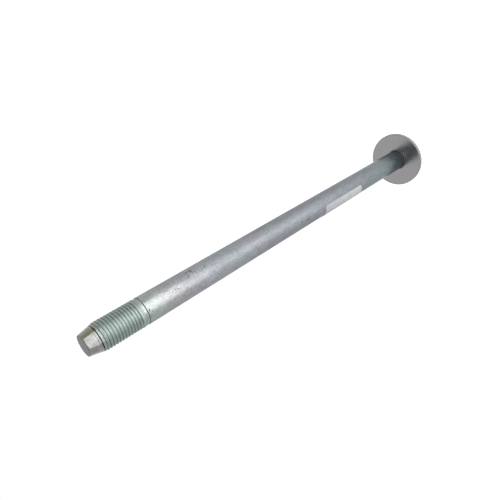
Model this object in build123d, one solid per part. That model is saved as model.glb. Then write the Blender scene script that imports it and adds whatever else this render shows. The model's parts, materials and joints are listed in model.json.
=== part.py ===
from build123d import *
import os
from math import cos, degrees, radians, sin, tan

# A long wheel bolt, forged and turned from one bar: hexagon head, wide thin collar,
# plain shank with an undercut at its foot, and a fine thread behind a tapered lead-in.
# A small paper label is wrapped round the shank near the collar.
# The bolt stands on its head: the origin is the centre of the head's end face and +Z
# runs along the axis to the threaded tip. All sizes are in millimetres.

# Hexagon head
across_flats = 22.0
hexagon_height = 8.8          # end face to the back edge of the collar's rim
hexagon_corner_radius = 0.5
end_face_diameter = 20.8      # flat circle that the corner chamfers leave
end_chamfer_angle = 30.0
hexagon_root_fillet = 0.6     # where the hexagon runs into the collar

# Collar
collar_diameter = 39.0
collar_rim_thickness = 2.6
collar_back_slope = 7.0       # the back rises from the rim towards the hexagon
collar_rim_rounding = 0.4
undercut_diameter = 13.2      # relief groove in the corner of shank and collar
undercut_width = 1.8          # along the shank
undercut_rim_diameter = 14.8  # the groove dips into the collar's face as far as this
undercut_dip = 0.2
undercut_root_radius = 0.3

# Shank and thread
shank_diameter = 14.0
length_under_collar = 258.0
thread_diameter = 13.97       # over the crests of the M14 x 1.5 thread
thread_end = 27.3             # from the tip to the last turn
neck_diameter = 13.5
neck_width = 1.8              # smooth neck between the thread and the shank
shoulder_angle = 45.0         # of the sloping ends of the neck and the undercut

# Tapered lead-in
tip_diameter = 10.4
taper_length = 7.9
tip_edge_rounding = 0.35

# Label
label_length = 40.0           # along the shank
label_width = 20.0            # around it
label_thickness = 0.12
label_corner_radius = 2.0
label_from_collar = 57.8
label_edge_angle = 251.0      # about +Z from +X, where the label's first long edge lies

# Heights that follow
back_rise = (collar_diameter - undercut_diameter) / 2 * tan(radians(collar_back_slope))
back_root_height = hexagon_height - back_rise
seat_height = hexagon_height + collar_rim_thickness
tip_height = seat_height + length_under_collar
thread_end_height = tip_height - thread_end
neck_end_height = thread_end_height - neck_width


def corner(section, radius, height):
    """The corner of a section at this radius and height."""
    return section.vertices().sort_by_distance((radius, 0, height))[0]


def head():
    """The hexagon, with rounded corners and the cone that chamfers its end."""
    prism = extrude(RegularPolygon(across_flats / 2, 6, major_radius=False), hexagon_height)
    prism = fillet(prism.edges().filter_by(Axis.Z), hexagon_corner_radius)
    reach = across_flats
    rise = (reach - end_face_diameter / 2) * tan(radians(end_chamfer_angle))
    cone_section = make_face(Plane.XZ * Polyline(
        (0, 0),
        (end_face_diameter / 2, 0),
        (reach, rise),
        (reach, rise + hexagon_height),
        (0, rise + hexagon_height),
        close=True,
    ))
    return prism & revolve(cone_section, Axis.Z)


def turned_body():
    """Collar, shank, neck, thread blank and lead-in as one turned section."""
    collar = collar_diameter / 2
    shank = shank_diameter / 2
    thread = thread_diameter / 2
    neck = neck_diameter / 2
    tip = tip_diameter / 2
    undercut = undercut_diameter / 2
    undercut_shoulder = (shank - undercut) / tan(radians(shoulder_angle))
    shank_shoulder = (shank - neck) / tan(radians(shoulder_angle))
    thread_shoulder = (thread - neck) / tan(radians(shoulder_angle))
    section = make_face(Plane.XZ * Polyline(
        (0, back_root_height),
        (undercut, back_root_height),
        (collar, hexagon_height),
        (collar, seat_height),
        (undercut_rim_diameter / 2, seat_height),
        (undercut, seat_height - undercut_dip),
        (undercut, seat_height + undercut_width - undercut_shoulder),
        (shank, seat_height + undercut_width),
        (shank, neck_end_height),
        (neck, neck_end_height + shank_shoulder),
        (neck, thread_end_height - thread_shoulder),
        (thread, thread_end_height),
        (thread, tip_height - taper_length),
        (tip, tip_height),
        (0, tip_height),
        close=True,
    ))
    section = fillet(corner(section, collar, hexagon_height), collar_rim_rounding)
    section = fillet(corner(section, collar, seat_height), collar_rim_rounding)
    section = fillet(corner(section, undercut, seat_height - undercut_dip), undercut_root_radius)
    section = fillet(corner(section, tip, tip_height), tip_edge_rounding)
    return revolve(section, Axis.Z)


def bolt():
    """The whole bolt, with the hexagon blended into the collar's sloping back."""
    joined = head() + turned_body()
    hexagon_reach = across_flats / 2 / cos(radians(30))
    root = [
        edge for edge in joined.edges()
        if back_root_height < edge.center().Z < hexagon_height
        and Vector(edge.center().X, edge.center().Y).length < hexagon_reach
    ]
    return fillet(root, hexagon_root_fillet)


def label():
    """A thin sheet bent round the shank, with rounded corners."""
    inner = shank_diameter / 2
    outer = inner + label_thickness
    low = seat_height + label_from_collar
    strip = make_face(Plane.XZ * Polyline(
        (inner, low),
        (outer, low),
        (outer, low + label_length),
        (inner, low + label_length),
        close=True,
    ))
    wrap = label_width / outer
    sheet = revolve(strip, Axis.Z, revolution_arc=degrees(wrap))
    middle = low + label_length / 2
    reach = 1.5 * label_corner_radius
    for side in (-1, 1):
        turn = wrap / 2 + side * (wrap / 2 - label_corner_radius / outer)
        outward = Vector(cos(turn), sin(turn), 0)
        for end in (-1, 1):
            height = middle + end * (label_length / 2 - label_corner_radius)
            surface = Plane(
                origin=outward * outer + Vector(0, 0, height),
                x_dir=(-sin(turn), cos(turn), 0),
                z_dir=outward,
            )
            square = Pos(side * reach / 2, end * reach / 2) * Rectangle(reach, reach)
            trim = surface * (square - Circle(label_corner_radius))
            sheet -= extrude(trim, amount=inner / 2, both=True)
    return Rot(Z=label_edge_angle - degrees(wrap)) * sheet


os.makedirs("parts", exist_ok=True)
export_step(bolt(), "parts/bolt.step")
export_step(label(), "parts/label.step")
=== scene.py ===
import json
import math

import bpy
from mathutils import Euler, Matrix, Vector


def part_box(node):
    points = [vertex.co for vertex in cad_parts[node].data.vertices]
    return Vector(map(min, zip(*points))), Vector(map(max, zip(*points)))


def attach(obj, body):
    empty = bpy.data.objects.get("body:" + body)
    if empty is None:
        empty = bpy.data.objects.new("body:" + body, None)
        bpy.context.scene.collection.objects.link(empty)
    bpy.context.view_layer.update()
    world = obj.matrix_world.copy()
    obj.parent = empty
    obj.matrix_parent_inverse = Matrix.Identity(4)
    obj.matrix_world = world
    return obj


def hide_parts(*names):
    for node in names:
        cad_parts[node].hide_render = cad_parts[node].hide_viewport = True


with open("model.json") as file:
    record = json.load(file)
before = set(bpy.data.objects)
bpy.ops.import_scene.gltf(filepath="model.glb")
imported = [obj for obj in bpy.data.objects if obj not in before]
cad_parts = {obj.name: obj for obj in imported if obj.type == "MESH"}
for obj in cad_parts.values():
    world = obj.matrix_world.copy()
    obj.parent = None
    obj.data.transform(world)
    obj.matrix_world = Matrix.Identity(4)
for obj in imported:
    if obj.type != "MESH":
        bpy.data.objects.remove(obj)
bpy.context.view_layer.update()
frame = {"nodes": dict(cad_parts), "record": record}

# The bolt: one steel forging with a hexagon head and a wide collar, turned along its
# shank, rolled with a right-hand M14 x 1.5 thread and zinc plated all over. It stands on
# its head, so heights run up from the head's end face to the tip.
MM = 0.001
mounts = {mount["name"]: mount for mount in frame["record"]["mounts"]}
tip_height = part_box("bolt")[1].z
collar_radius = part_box("bolt")[1].x
seat_height = mounts["collar_face"]["pos_m"][2]
shank_radius = mounts["shank"]["dims"]["r_mm"] * MM
thread_radius = mounts["thread"]["dims"]["r_mm"] * MM
viewed_side = -math.pi / 2    # the angle about +Z of the -Y side

# Its skin is a stack of rings from the head's end face to the tip. Each ring names the
# finish of the band below it, and has its points closer together at the hexagon's corners.
FORGED, TURNED, GROOVE, SHANK, THREAD, TAPER, END = range(7)
points_round = 240
corner_crowding = 0.6 / 6
even_angles = [2 * math.pi * k / points_round for k in range(points_round)]
angles = [turn - corner_crowding * math.sin(6 * turn) for turn in even_angles]
rings = []


def ring(finish, radius, height):
    """Adds a ring. Its radius is a number or a list with one for each point, and its
    height is a number or a function of the radius."""
    radii = radius if isinstance(radius, list) else [radius] * points_round
    heights = [height(r) if callable(height) else height for r in radii]
    points = [(r * math.cos(a), r * math.sin(a), z) for r, a, z in zip(radii, angles, heights)]
    rings.append((finish, points))


def arc(centre, radius, start, end, steps):
    """Points of an arc in the half section, each as (distance from the axis, height)."""
    turns = [math.radians(start + (end - start) * k / steps) for k in range(steps + 1)]
    return [(centre[0] + radius * math.cos(t), centre[1] + radius * math.sin(t)) for t in turns]


def between(first, last, steps):
    """Evenly spaced points of the half section after first and before last."""
    shares = [k / steps for k in range(1, steps)]
    return [tuple(a + (b - a) * share for a, b in zip(first, last)) for share in shares]


# Head: a forged hexagon with rounded corners. A cone chamfers its end, and a small fillet
# leads into the collar's back, which falls away towards the rim.
across_flats = 22.0 * MM
hexagon_height = 8.8 * MM
hexagon_corner_radius = 0.5 * MM
hexagon_root_fillet = 0.6 * MM
end_face_radius = 10.4 * MM
end_chamfer_slope = math.tan(math.radians(30))
end_chamfer_edge = 0.08 * MM  # the narrow rounding where the cone meets a flank
end_chamfer_edge_rise = 0.06 * MM
flank_foot = 1.7 * MM         # the flank's own rings start at this height
flank_top = 0.8 * MM          # and stay this far below the collar's back
collar_back_slope = math.tan(math.radians(7))


def hexagon_radius(angle):
    """Distance from the axis to the rounded hexagon, which has a corner at angle 0."""
    flat = across_flats / 2
    straight = (flat - hexagon_corner_radius) * math.tan(math.pi / 6)
    from_flat = abs(angle % (math.pi / 3) - math.pi / 6)
    if from_flat < math.atan(straight / flat):
        return flat / math.cos(from_flat)
    centre = (flat - hexagon_corner_radius) / math.cos(math.pi / 6)
    from_corner = math.pi / 6 - from_flat
    across = centre * math.sin(from_corner)
    return centre * math.cos(from_corner) + math.sqrt(hexagon_corner_radius ** 2 - across ** 2)


def end_chamfer(radius):
    """Height of the cone that chamfers the hexagon's end."""
    return (radius - end_face_radius) * end_chamfer_slope


def collar_back(radius):
    """Height of the collar's back face."""
    return hexagon_height - (collar_radius - radius) * collar_back_slope


hexagon = [hexagon_radius(angle) for angle in angles]
for share in (0.02, 0.5, 0.9, 0.97, 1.0):
    ring(FORGED, end_face_radius * share, 0.0)
ring(FORGED, [r - end_chamfer_edge for r in hexagon], end_chamfer)
ring(FORGED, hexagon, lambda r: end_chamfer(r) + end_chamfer_edge_rise)
for share in (0.3, 0.6, 0.9):
    ring(FORGED, hexagon, lambda r: flank_foot + share * (collar_back(r) - flank_top - flank_foot))
for turn in range(0, 91, 18):
    out = hexagon_root_fillet * (1 - math.cos(math.radians(turn)))
    down = hexagon_root_fillet * (1 - math.sin(math.radians(turn)))
    ring(FORGED, [r + out for r in hexagon], lambda r: collar_back(r) - down)

# Collar: its rim is rounded, and its face is turned flat where it seats. An undercut runs
# round the foot of the shank and dips a little into that face.
collar_rim_rounding = 0.4 * MM
undercut_radius = 6.6 * MM
undercut_width = 1.8 * MM
undercut_rim_radius = 7.4 * MM
undercut_dip = 0.2 * MM
undercut_root_radius = 0.3 * MM
undercut_root_rise = 0.36 * MM
undercut_shoulder = shank_radius - undercut_radius

back_start = (across_flats / 2 / math.cos(math.pi / 6) + hexagon_root_fillet, 0)
rim_start = collar_radius - collar_rim_rounding
for radius, height in between(back_start, (rim_start, 0), 4) + [(rim_start, 0)]:
    ring(FORGED, radius, collar_back)
rim = arc((rim_start, hexagon_height + collar_rim_rounding), collar_rim_rounding, -80, 0, 4)
rim += arc((rim_start, seat_height - collar_rim_rounding), collar_rim_rounding, 0, 90, 5)
for radius, height in rim:
    ring(FORGED, radius, height)
undercut_rim = (undercut_rim_radius, seat_height)
for radius, height in between((rim_start, seat_height), undercut_rim, 14) + [undercut_rim]:
    ring(TURNED, radius, height)
root_centre = (
    undercut_radius + undercut_root_radius,
    seat_height - undercut_dip + undercut_root_rise,
)
for radius, height in arc(root_centre, undercut_root_radius, 286, 180, 5):
    ring(GROOVE, radius, height)
ring(GROOVE, undercut_radius, seat_height + undercut_width - undercut_shoulder)

# Shank and neck: drawn bar up to a small shoulder, then a smooth neck, turned down a
# little before the thread was rolled. The rings beside each edge keep it crisp.
neck_radius = 6.75 * MM
thread_end = tip_height - 27.3 * MM
neck_end = thread_end - 1.8 * MM
edge_break = 0.05 * MM
shoulder_edge_break = 0.04 * MM
neck_corner = 0.15 * MM       # the rounded corner where the shoulder meets the neck
neck_flat = 0.35 * MM         # where the neck's cylinder begins, past the shoulder
foot_height = seat_height + undercut_width

ring(SHANK, shank_radius - edge_break, foot_height - edge_break)
ring(SHANK, shank_radius, foot_height + edge_break)
for radius, height in between((shank_radius, foot_height), (shank_radius, neck_end), 30):
    ring(SHANK, radius, height)
ring(SHANK, shank_radius, neck_end - edge_break)
ring(SHANK, shank_radius - shoulder_edge_break, neck_end)
ring(SHANK, neck_radius - edge_break, neck_end + neck_corner)
ring(SHANK, neck_radius, neck_end + neck_flat)

# Thread and lead-in taper: the groove winds right-handed, so it climbs as the angle about
# +Z grows. It cuts into the taper with incomplete turns and runs out before the neck.
thread_pitch = 1.5 * MM
thread_depth = 0.78 * MM
first_groove = 7.05 * MM      # the first full groove, below the tip on the -Y side
lead_in_pitch = 1.2 * MM      # the rolled groove closes up on the taper
last_groove = 26.2 * MM
run_out_turns = 1.4
groove_floor = 0.10           # shares of half a pitch, from the groove's middle
crest_start = 0.82
steps_per_pitch = 14
first_step = 0.6 * MM         # where the thread's close rings begin, past the shoulder
tip_radius = 5.2 * MM
tip_rounding = 0.15 * MM
taper_length = 7.9 * MM
taper_slope = (thread_radius - tip_radius) / taper_length
plain_taper = 3.2 * MM        # the end of the taper that the groove does not reach
plain_steps = (3.0 * MM, 1.8 * MM, 0.8 * MM, 0.42 * MM)


def clamp(value):
    return min(1.0, max(0.0, value))


def thread_radius_at(below_tip, angle):
    """Radius of the rolled thread's surface: a rounded groove that winds round the axis."""
    pitch = thread_pitch if below_tip > first_groove else lead_in_pitch
    turns = (below_tip - first_groove) / pitch + (angle - viewed_side) / (2 * math.pi)
    from_groove = abs((turns + 0.5) % 1.0 - 0.5) * 2        # 0 in the groove, 1 on the crest
    flank = clamp((from_groove - groove_floor) / (crest_start - groove_floor))
    rounded_flank = flank * flank * (3 - 2 * flank)
    above_end = last_groove + 0.5 * thread_pitch - below_tip
    run_out = clamp(above_end / (run_out_turns * thread_pitch))
    return thread_radius - thread_depth * (1 - rounded_flank) * run_out


def blank_radius(below_tip):
    """Radius of the threaded end before rolling: neck, thread blank or taper."""
    if below_tip < taper_length:
        return tip_radius + below_tip * taper_slope
    shoulder = thread_radius - neck_radius
    rise = clamp((tip_height - below_tip - thread_end + shoulder) / shoulder)
    return neck_radius + shoulder * rise


height = neck_end + first_step
while height < tip_height - plain_taper:
    below_tip = tip_height - height
    blank = blank_radius(below_tip)
    if height < thread_end:
        finish = SHANK
    elif below_tip > first_groove - 0.5 * thread_pitch:
        finish = THREAD
    else:
        finish = TAPER
    ring(finish, [min(blank, thread_radius_at(below_tip, angle)) for angle in angles], height)
    height += thread_pitch / steps_per_pitch
for below_tip in plain_steps:
    ring(TAPER, blank_radius(below_tip), tip_height - below_tip)
tip_face_radius = tip_radius - tip_rounding
for radius, height in arc((tip_face_radius, tip_height - tip_rounding), tip_rounding, 12, 90, 4):
    ring(TAPER, radius, height)
for share in (0.97, 0.6, 0.3, 0.02):
    ring(END, tip_face_radius * share, tip_height)

vertices = [point for finish, points in rings for point in points]
faces = []
finish_of_faces = []
for low in range(len(rings) - 1):
    for k in range(points_round):
        here = low * points_round + k
        beside = low * points_round + (k + 1) % points_round
        faces.append((here, beside, beside + points_round, here + points_round))
        finish_of_faces.append(rings[low + 1][0])
last_ring = (len(rings) - 1) * points_round
faces.append(tuple(reversed(range(points_round))))
faces.append(tuple(range(last_ring, last_ring + points_round)))
finish_of_faces += [FORGED, END]
bolt_mesh = bpy.data.meshes.new("wheel_bolt")
bolt_mesh.from_pydata(vertices, [], faces)
bolt_mesh.polygons.foreach_set("material_index", finish_of_faces)
bolt_mesh.polygons.foreach_set("use_smooth", [True] * len(faces))
bolt_mesh.update()


class Socket:
    """A node's output that takes part in sums, each of which adds a Math node."""

    def __init__(self, finish, output):
        self.finish = finish
        self.output = output

    def math(self, operation, *terms):
        values = dict(enumerate(terms))
        return self.finish.node("ShaderNodeMath", {"operation": operation}, values)

    def __add__(self, other):
        return self.math("ADD", self, other)

    def __sub__(self, other):
        return self.math("SUBTRACT", self, other)

    def __rsub__(self, other):
        return self.math("SUBTRACT", other, self)

    def __mul__(self, other):
        return self.math("MULTIPLY", self, other)

    def __truediv__(self, other):
        return self.math("DIVIDE", self, other)

    def __rtruediv__(self, other):
        return self.math("DIVIDE", other, self)

    __radd__ = __add__
    __rmul__ = __mul__

    def root(self):
        return self.math("SQRT", self)

    def sine(self):
        return self.math("SINE", self)

    def size(self):
        return self.math("ABSOLUTE", self)

    def clamp(self):
        return self.math("MINIMUM", self.math("MAXIMUM", self, 0.0), 1.0)


class Finish:
    """A surface finish: the node tree of a material or of the studio's world."""

    def __init__(self, owner):
        owner.use_nodes = True
        self.owner = owner
        self.tree = owner.node_tree
        self.tree.nodes.clear()

    def node(self, kind, settings=None, values=None, output=0):
        """Adds a node: its settings first, then the values or links of its sockets."""
        made = self.tree.nodes.new(kind)
        for name, setting in (settings or {}).items():
            if name == "stops":
                self.set_stops(made.color_ramp, setting)
            else:
                setattr(made, name, setting)
        for name, value in (values or {}).items():
            if isinstance(value, Socket):
                self.tree.links.new(value.output, made.inputs[name])
            else:
                made.inputs[name].default_value = value
        return Socket(self, made.outputs[output]) if made.outputs else None

    @staticmethod
    def set_stops(ramp, stops):
        while len(ramp.elements) < len(stops):
            ramp.elements.new(1.0)
        for element, (place, colour) in zip(ramp.elements, stops):
            element.position = place
            element.color = (*colour, 1.0)

    def place(self):
        """The point on the object, in metres in the object's own frame."""
        return self.node("ShaderNodeTexCoord", output="Object")

    def coordinates(self, place):
        """The point's x, its y, its height and its distance from the axis."""
        x, y, height = [self.node("ShaderNodeSeparateXYZ", None, {0: place}, n) for n in range(3)]
        return x, y, height, (x * x + y * y).root()

    def noise(self, place, size, detail=2.0, stretch=(1, 1, 1)):
        """Noise from 0 to 1 whose features are about size across."""
        scale = [share / size for share in stretch]
        scaled = self.node("ShaderNodeMapping", None, {"Vector": place, "Scale": scale})
        values = {"Vector": scaled, "Scale": 1.0, "Detail": detail}
        return self.node("ShaderNodeTexNoise", None, values)

    def shade(self, colour, brightness):
        """The colour, brighter or darker."""
        values = {0: colour, "Scale": brightness}
        return self.node("ShaderNodeVectorMath", {"operation": "SCALE"}, values)

    def blend(self, share, first, second, way="MIX"):
        """The first colour where share is 0, the second where it is 1."""
        settings = {"data_type": "RGBA", "blend_type": way}
        return self.node("ShaderNodeMix", settings, {0: share, 6: first, 7: second}, output=2)

    def ramp(self, share, stops):
        """A colour that runs through the stops as share goes from 0 to 1."""
        return self.node("ShaderNodeValToRGB", {"stops": stops}, {0: share})

    def bump(self, height, distance):
        """A normal bent by a relief whose height of 1 stands for this distance."""
        return self.node("ShaderNodeBump", None, {"Height": height, "Distance": distance})

    def stroke(self, place, below_tip, turn, lean, length, width):
        """A soft mark on the shank: 1 at its middle, falling to 0 at its edge."""
        angle = viewed_side - math.radians(turn)
        lean = math.radians(lean)
        out = Vector((math.cos(angle), math.sin(angle), 0))
        around = Vector((-out.y, out.x, 0))
        up = Vector((0, 0, 1))
        centre = out * shank_radius + up * (tip_height - below_tip)
        along_mark = (around * math.sin(lean) - up * math.cos(lean)) / (length / 2)
        across_mark = (around * math.cos(lean) + up * math.sin(lean)) / (width / 2)
        offset = self.node("ShaderNodeVectorMath", {"operation": "SUBTRACT"}, {0: place, 1: centre})
        dot = {"operation": "DOT_PRODUCT"}
        off_mark = 0.0
        for axis in (along_mark, across_mark, out / shank_radius):
            reach = self.node("ShaderNodeVectorMath", dot, {0: offset, 1: axis}, "Value")
            off_mark = reach * reach + off_mark
        return (1.0 - off_mark).clamp()

    def surface(self, values):
        """Ends the finish in a Principled shader with these socket values."""
        shader = self.node("ShaderNodeBsdfPrincipled", None, values)
        self.node("ShaderNodeOutputMaterial", None, {"Surface": shader})
        return self.owner


def forged_head():
    """The hexagon and the collar's back and rim: forged, tumbled and plated."""
    green_grey = (0.222, 0.238, 0.236, 1.0)
    lilac_grey = (0.226, 0.226, 0.240, 1.0)
    finish = Finish(bpy.data.materials.new("forged_head"))
    place = finish.place()
    clouds = finish.noise(place, 7 * MM, 3.0)
    mottle = finish.noise(place, 1.2 * MM, 4.0)
    colour = finish.blend(clouds, green_grey, lilac_grey)
    return finish.surface({
        "Base Color": finish.shade(colour, 0.80 + mottle * 0.40),
        "Metallic": 1.0,
        "Roughness": 0.24 + mottle * 0.16,
        "Specular Tint": (0.70, 0.70, 0.71, 1),
        "Normal": finish.bump(mottle + clouds, 0.05 * MM),
    })


def turned_face(name, brightness, edge_tint):
    """A face turned in a lathe, with fine rings from the tool under the plating."""
    rosy = (1.0, 0.95, 0.965, 1.0)
    lilac = (0.97, 0.95, 1.0, 1.0)
    tool_feed = 0.28 * MM
    finish = Finish(bpy.data.materials.new(name))
    place = finish.place()
    x, y, height, radius = finish.coordinates(place)
    clouds = finish.noise(place, 5 * MM, 2.0)
    mottle = finish.noise(place, 1.4 * MM, 3.0)
    tool_rings = (radius * (2 * math.pi / tool_feed) + clouds * 3.0).sine()
    colour = finish.blend(clouds, rosy, lilac)
    return finish.surface({
        "Base Color": finish.shade(colour, (0.88 + mottle * 0.24) * brightness),
        "Metallic": 1.0,
        "Roughness": 0.16 + mottle * 0.10,
        "Specular Tint": edge_tint,
        "Normal": finish.bump(tool_rings * 0.5 + mottle, 0.006 * MM),
    })


def grimy_groove():
    """The undercut at the foot of the shank: its corner is painted near black, painted shade."""
    dark_plating = (0.290, 0.314, 0.335, 1.0)
    pale_plating = (0.420, 0.450, 0.478, 1.0)
    undercut_shade_colour = (0.014, 0.015, 0.018, 1.0)
    undercut_shade_height = 0.6 * MM
    undercut_shade_radius = 7.25 * MM
    undercut_shade_edge = 0.3 * MM
    finish = Finish(bpy.data.materials.new("grimy_groove"))
    place = finish.place()
    x, y, height, radius = finish.coordinates(place)
    mottle = finish.noise(place, 1.0 * MM, 3.0)
    # The low inner corner of the undercut takes a near-black colour: painted shade.
    low = (1.0 - (height - seat_height) / undercut_shade_height).clamp()
    inner = ((undercut_shade_radius - radius) / undercut_shade_edge).clamp()
    plating = finish.blend(mottle, dark_plating, pale_plating)
    return finish.surface({
        "Base Color": finish.blend(low * inner, plating, undercut_shade_colour),
        "Metallic": 1.0,
        "Roughness": 0.30 + mottle * 0.2,
        "Normal": finish.bump(mottle, 0.04 * MM),
    })


# Handling scuffs in the shank's plating: each mark's distance below the tip, degrees
# round from -Y, lean from the bolt's axis in degrees, length and width
scuffs = [
    (55.9 * MM, -46, 5, 3.0 * MM, 1.0 * MM),
    (57.9 * MM, -45, 75, 2.8 * MM, 1.5 * MM),
    (58.3 * MM, -35, 80, 1.9 * MM, 0.9 * MM),
    (59.6 * MM, -32, 65, 1.9 * MM, 0.7 * MM),
    (55.2 * MM, -24, 45, 2.8 * MM, 0.9 * MM),
    (53.8 * MM, -19, 20, 1.4 * MM, 0.6 * MM),
    (44.0 * MM, -4, 30, 1.8 * MM, 0.55 * MM),
    (45.6 * MM, -7, 0, 1.5 * MM, 0.5 * MM),
    (47.0 * MM, -2, -50, 1.5 * MM, 0.75 * MM),
    (48.5 * MM, 1, -30, 1.1 * MM, 0.5 * MM),
    (65.5 * MM, -26, 20, 1.6 * MM, 0.9 * MM),
    (31.2 * MM, 22, 40, 1.1 * MM, 0.6 * MM),
    (29.9 * MM, 11, 75, 1.9 * MM, 1.1 * MM),
    (137.0 * MM, 27, 10, 3.0 * MM, 0.8 * MM),
    (142.8 * MM, 31, 14, 6.0 * MM, 1.0 * MM),
]


def plated_shank():
    """Zinc plate on the drawn bar: its tint shifts slowly from the pale end behind the
    thread to the darker middle, with grain, soft clouds of colour and a few scuffs. The pale
    end is partly a painted highlight that fades towards the head, and the lighter tint at
    the foot is painted light that lifts the dark reflection of the collar. It is coarsest
    behind the thread, and duller at the foot by the collar. Each tint stands at a share of
    the bolt's length from the tip."""
    # The tints' brightness carries painted light: a highlight fading from the thread towards the
    # head, and light lifting the foot.
    tints_and_painted_light = [
        (0.11, (0.256, 0.268, 0.257)),
        (0.18, (0.230, 0.243, 0.246)),
        (0.24, (0.240, 0.250, 0.262)),
        (0.31, (0.226, 0.235, 0.247)),
        (0.42, (0.184, 0.193, 0.204)),
        (0.67, (0.152, 0.162, 0.173)),
        (0.82, (0.137, 0.162, 0.167)),
        (0.885, (0.137, 0.162, 0.167)),
        (0.94, (0.182, 0.205, 0.214)),
    ]
    green_film = (0.95, 1.01, 1.0)
    lilac_film = (1.03, 0.98, 1.02)
    scuff_and_shade_colour = (0.045, 0.047, 0.046, 1.0)
    tint_waver = 30 * MM
    shoulder_shade_width = 0.22 * MM
    scuff_strength = 0.72
    coarse_start = 195 * MM
    coarse_rise = 25 * MM
    relief_start = 40 * MM
    relief_rise = 190 * MM
    dull_start = 0.84
    dull_rise = 0.05
    finish = Finish(bpy.data.materials.new("plated_shank"))
    place = finish.place()
    x, y, height, radius = finish.coordinates(place)
    clouds = finish.noise(place, 8 * MM, 3.0)
    mottle = finish.noise(place, 2.2 * MM, 3.0, stretch=(1, 1, 0.38))
    grain = finish.noise(place, 0.9 * MM, 3.0)
    from_tip = (tip_height - height + (clouds - 0.5) * tint_waver) / tip_height
    drifts = finish.noise(place, 14 * MM, 2.0)
    film = finish.ramp(drifts, [(0.35, green_film), (0.65, lilac_film)])
    dull_foot = ((from_tip - dull_start) / dull_rise).clamp()
    colour = finish.blend(1.0, finish.ramp(from_tip, tints_and_painted_light), film, "MULTIPLY")
    coarse = 0.78 + ((height - coarse_start) / coarse_rise).clamp() * 0.22
    speckle = (mottle - 0.5) * 0.58 + (grain - 0.5) * 0.90
    colour = finish.shade(colour, speckle * coarse + 1.0)
    worn = 0.0
    for scuff in scuffs:
        worn = finish.stroke(place, *scuff) + worn
    worn = (worn * (0.5 + grain)).clamp() * scuff_strength
    # A thin band at the neck's shoulder is darkened with the scuffs' colour: painted shade of the
    # step.
    shoulder_painted_shade = (1.0 - (height - neck_end).size() / shoulder_shade_width).clamp() * 0.5
    colour = finish.blend((worn + shoulder_painted_shade).clamp(), colour, scuff_and_shade_colour)
    relief = 0.2 + ((height - relief_start) / relief_rise).clamp() * 0.8
    return finish.surface({
        "Base Color": colour,
        "Metallic": 1.0,
        "Roughness": 0.07 + mottle * 0.2 + worn * 0.3 + dull_foot * 0.15,
        "Specular Tint": (0.66, 0.66, 0.67, 1),
        "Normal": finish.bump((grain * 0.5 + mottle) * relief, 0.12 * MM),
    })


def plated_thread():
    """The rolled thread: a greener film on the plating, with a paler colour in the groove that is
    painted light lifting the groove's shade.
    """
    crest_colour = (0.265, 0.306, 0.289, 1.0)
    groove_painted_light_colour = (0.334, 0.393, 0.374, 1.0)
    finish = Finish(bpy.data.materials.new("plated_thread"))
    place = finish.place()
    x, y, height, radius = finish.coordinates(place)
    mottle = finish.noise(place, 2.4 * MM, 3.0)
    grain = finish.noise(place, 0.7 * MM, 2.0)
    depth = ((thread_radius - radius) / thread_depth).clamp()
    # Paler towards the groove's floor: painted light.
    colour = finish.blend(depth, crest_colour, groove_painted_light_colour)
    return finish.surface({
        "Base Color": finish.shade(colour, 0.76 + mottle * 0.36 + grain * 0.12),
        "Metallic": 1.0,
        "Roughness": 0.25 + mottle * 0.10,
        "Specular Tint": (0.60, 0.60, 0.61, 1),
        "Normal": finish.bump(mottle, 0.02 * MM),
    })


def plated_taper():
    """The lead-in taper: turned smooth and bright, with an olive band down one side that is a
    painted reflection, and painted shade in the incomplete first turns of the groove."""
    dull_plating = (0.215, 0.222, 0.208, 1.0)
    bright_plating = (0.345, 0.338, 0.342, 1.0)
    olive_painted_reflection = (0.200, 0.225, 0.105, 1.0)
    groove_painted_shade = (0.050, 0.058, 0.050, 1.0)
    painted_reflection_angle = viewed_side + math.radians(36)
    painted_reflection_edge = math.cos(math.radians(13))
    painted_reflection_strength = 0.8
    painted_shade_depth = 0.16 * MM
    finish = Finish(bpy.data.materials.new("plated_taper"))
    place = finish.place()
    x, y, height, radius = finish.coordinates(place)
    mottle = finish.noise(place, 2.4 * MM, 3.0)
    grain = finish.noise(place, 0.9 * MM, 3.0)
    colour = finish.blend(((mottle - 0.3) * 2.5).clamp(), dull_plating, bright_plating)
    # An olive band down one side: a painted reflection of the dark edge beside the panel's
    # highlight.
    towards_painted_reflection = (x * math.cos(painted_reflection_angle) + y * math.sin(painted_reflection_angle)) / radius
    painted_reflection = ((towards_painted_reflection - painted_reflection_edge) / (1 - painted_reflection_edge) * painted_reflection_strength).clamp()
    colour = finish.blend(painted_reflection, colour, olive_painted_reflection)
    # Darker where the surface is sunk into the groove's first turns: painted shade.
    sunk = tip_radius + (tip_height - height) * taper_slope - radius
    colour = finish.blend((sunk / painted_shade_depth).clamp(), colour, groove_painted_shade)
    return finish.surface({
        "Base Color": finish.shade(colour, 0.78 + grain * 0.44),
        "Metallic": 1.0,
        "Roughness": 0.08 + grain * 0.16,
        "Normal": finish.bump(mottle, 0.08 * MM),
    })


bolt = bpy.data.objects.new("wheel_bolt", bolt_mesh)
bpy.context.scene.collection.objects.link(bolt)
for finish in (
    forged_head(),
    turned_face("turned_seat", 0.345, (1, 1, 1, 1)),
    grimy_groove(),
    plated_shank(),
    plated_thread(),
    plated_taper(),
    # The tip's end face is the turned face at half the brightness: painted shade.
    turned_face("turned_tip", 0.17, (0.65, 0.65, 0.67, 1)),
):
    bolt.data.materials.append(finish)
edges = bolt.modifiers.new("crisp_edges", "EDGE_SPLIT")
edges.split_angle = math.radians(32)
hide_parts("bolt")
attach(bolt, "root")


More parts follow.
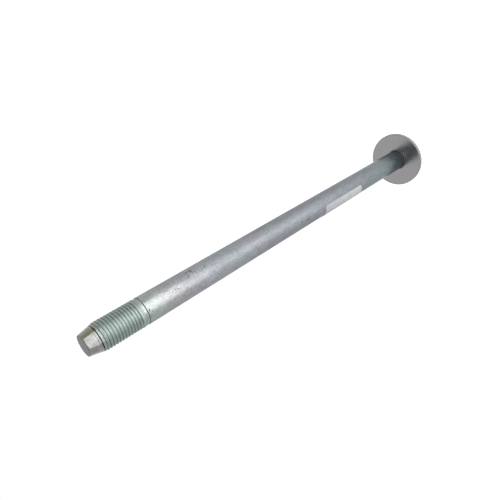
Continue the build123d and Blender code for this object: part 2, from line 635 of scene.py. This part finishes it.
# The label: a small blank paper sticker wrapped round the shank near the collar, stuck
# on by hand. The CAD sheet is the label's real form and keeps showing.
def label_paper():
    """Grey-white uncoated paper, a little cloudy."""
    paper = (0.262, 0.268, 0.272)
    finish = Finish(bpy.data.materials.new("label_paper"))
    place = finish.place()
    fibres = finish.noise(place, 0.8 * MM, 4.0)
    clouds = finish.noise(place, 4 * MM, 2.0)
    return finish.surface({
        "Base Color": finish.shade(paper, 0.80 + fibres * 0.10 + clouds * 0.30),
        "Roughness": 0.55 + fibres * 0.1,
        "Normal": finish.bump(fibres, 0.02 * MM),
    })


label = frame["nodes"]["label"]
label.data.materials.clear()
label.data.materials.append(label_paper())


# The studio floor and surround: a pale matt floor that metal and camera see as white, and
# an even pale surround, a little brighter behind the bolt.
def pale_floor():
    """Matt and pale, with a glow that only the camera, mirrors and glass see."""
    finish = Finish(bpy.data.materials.new("pale_floor"))
    matt = finish.node("ShaderNodeBsdfDiffuse", None, {"Color": (0.90, 0.90, 0.90, 1.0)})
    glow = finish.node("ShaderNodeEmission", None, {"Color": (1, 1, 1, 1), "Strength": 0.40})
    glowing = finish.node("ShaderNodeAddShader", None, {0: matt, 1: glow})
    seen = 0.0
    for ray in ("Is Camera Ray", "Is Glossy Ray", "Is Transmission Ray"):
        seen = finish.node("ShaderNodeLightPath", output=ray) + seen
    shader = finish.node("ShaderNodeMixShader", None, {0: seen.clamp(), 1: matt, 2: glowing})
    finish.node("ShaderNodeOutputMaterial", None, {"Surface": shader})
    return finish.owner


floor_reach = 6.0
corners = [(x * floor_reach, y * floor_reach, 0.0) for x, y in ((-1, -1), (1, -1), (1, 1), (-1, 1))]
floor_mesh = bpy.data.meshes.new("floor")
floor_mesh.from_pydata(corners, [], [(0, 1, 2, 3)])
floor_mesh.materials.append(pale_floor())
floor = bpy.data.objects.new("floor", floor_mesh)
bpy.context.scene.collection.objects.link(floor)

surround = Finish(bpy.data.worlds.new("studio"))
sideways = surround.coordinates(surround.node("ShaderNodeTexCoord", output="Generated"))[1]
front, behind, white = [
    surround.node("ShaderNodeBackground", None, {"Color": (1, 1, 1, 1), "Strength": strength})
    for strength in (0.67, 0.97, 1.0)
]
pale = surround.node("ShaderNodeMixShader", None, {0: sideways * 0.5 + 0.5, 1: front, 2: behind})
camera_ray = surround.node("ShaderNodeLightPath", output="Is Camera Ray")
shown = surround.node("ShaderNodeMixShader", None, {0: camera_ray, 1: pale, 2: white})
surround.node("ShaderNodeOutputWorld", None, {"Surface": shown})
bpy.context.scene.world = surround.owner


# The lamps: a wide soft panel in front of the bolt, brighter in its middle, and two lamps
# low over the floor, which light matt surfaces only and are never seen in the metal.
def soft_lamp(name, place, turn, width, depth, radiance):
    """A rectangular lamp facing along its own -Z, as bright as radiance all over."""
    data = bpy.data.lights.new(name, "AREA")
    data.shape = "RECTANGLE"
    data.size = width
    data.size_y = depth
    data.energy = radiance * math.pi * width * depth
    lamp = bpy.data.objects.new(name, data)
    bpy.context.scene.collection.objects.link(lamp)
    lamp.location = place
    lamp.rotation_euler = turn
    lamp.visible_camera = False
    return lamp


upright = (math.pi / 2, 0, 0)
face_down = (0, 0, 0)
soft_lamp("tall_panel", (0.08, -0.90, 0.32), upright, 2.46, 0.60, 1.42)
soft_lamp("panel_middle", (0.16, -0.89, 0.32), upright, 0.90, 0.60, 0.40)
far_floor_lamp = soft_lamp("far_floor_lamp", (0.08, -0.77, 0.14), face_down, 0.86, 0.65, 3.1)
near_floor_lamp = soft_lamp("near_floor_lamp", (0, -0.17, 0.12), face_down, 0.15, 0.22, 3.4)
far_floor_lamp.visible_glossy = False
near_floor_lamp.visible_glossy = False

# The camera looks down past the tip to the collar, rolled so that the bolt crosses the
# frame from the tip at the lower left to the head at the upper right.
camera_data = bpy.data.cameras.new("camera")
camera_data.sensor_width = 36.0
camera_data.lens = 31.64
camera_data.clip_start = 0.01
camera = bpy.data.objects.new("camera", camera_data)
bpy.context.scene.collection.objects.link(camera)
camera.location = (0.0, -195.9 * MM, tip_height + 41.1 * MM)
pan, tilt, roll = (math.radians(angle) for angle in (0.44, 35.52, -121.05))
camera.rotation_euler = (
    Euler((0, 0, pan)).to_matrix()
    @ Euler((math.pi / 2 - tilt, 0, 0)).to_matrix()
    @ Euler((0, 0, roll)).to_matrix()
).to_euler()
bpy.context.scene.camera = camera
bpy.context.scene.view_settings.view_transform = "Standard"
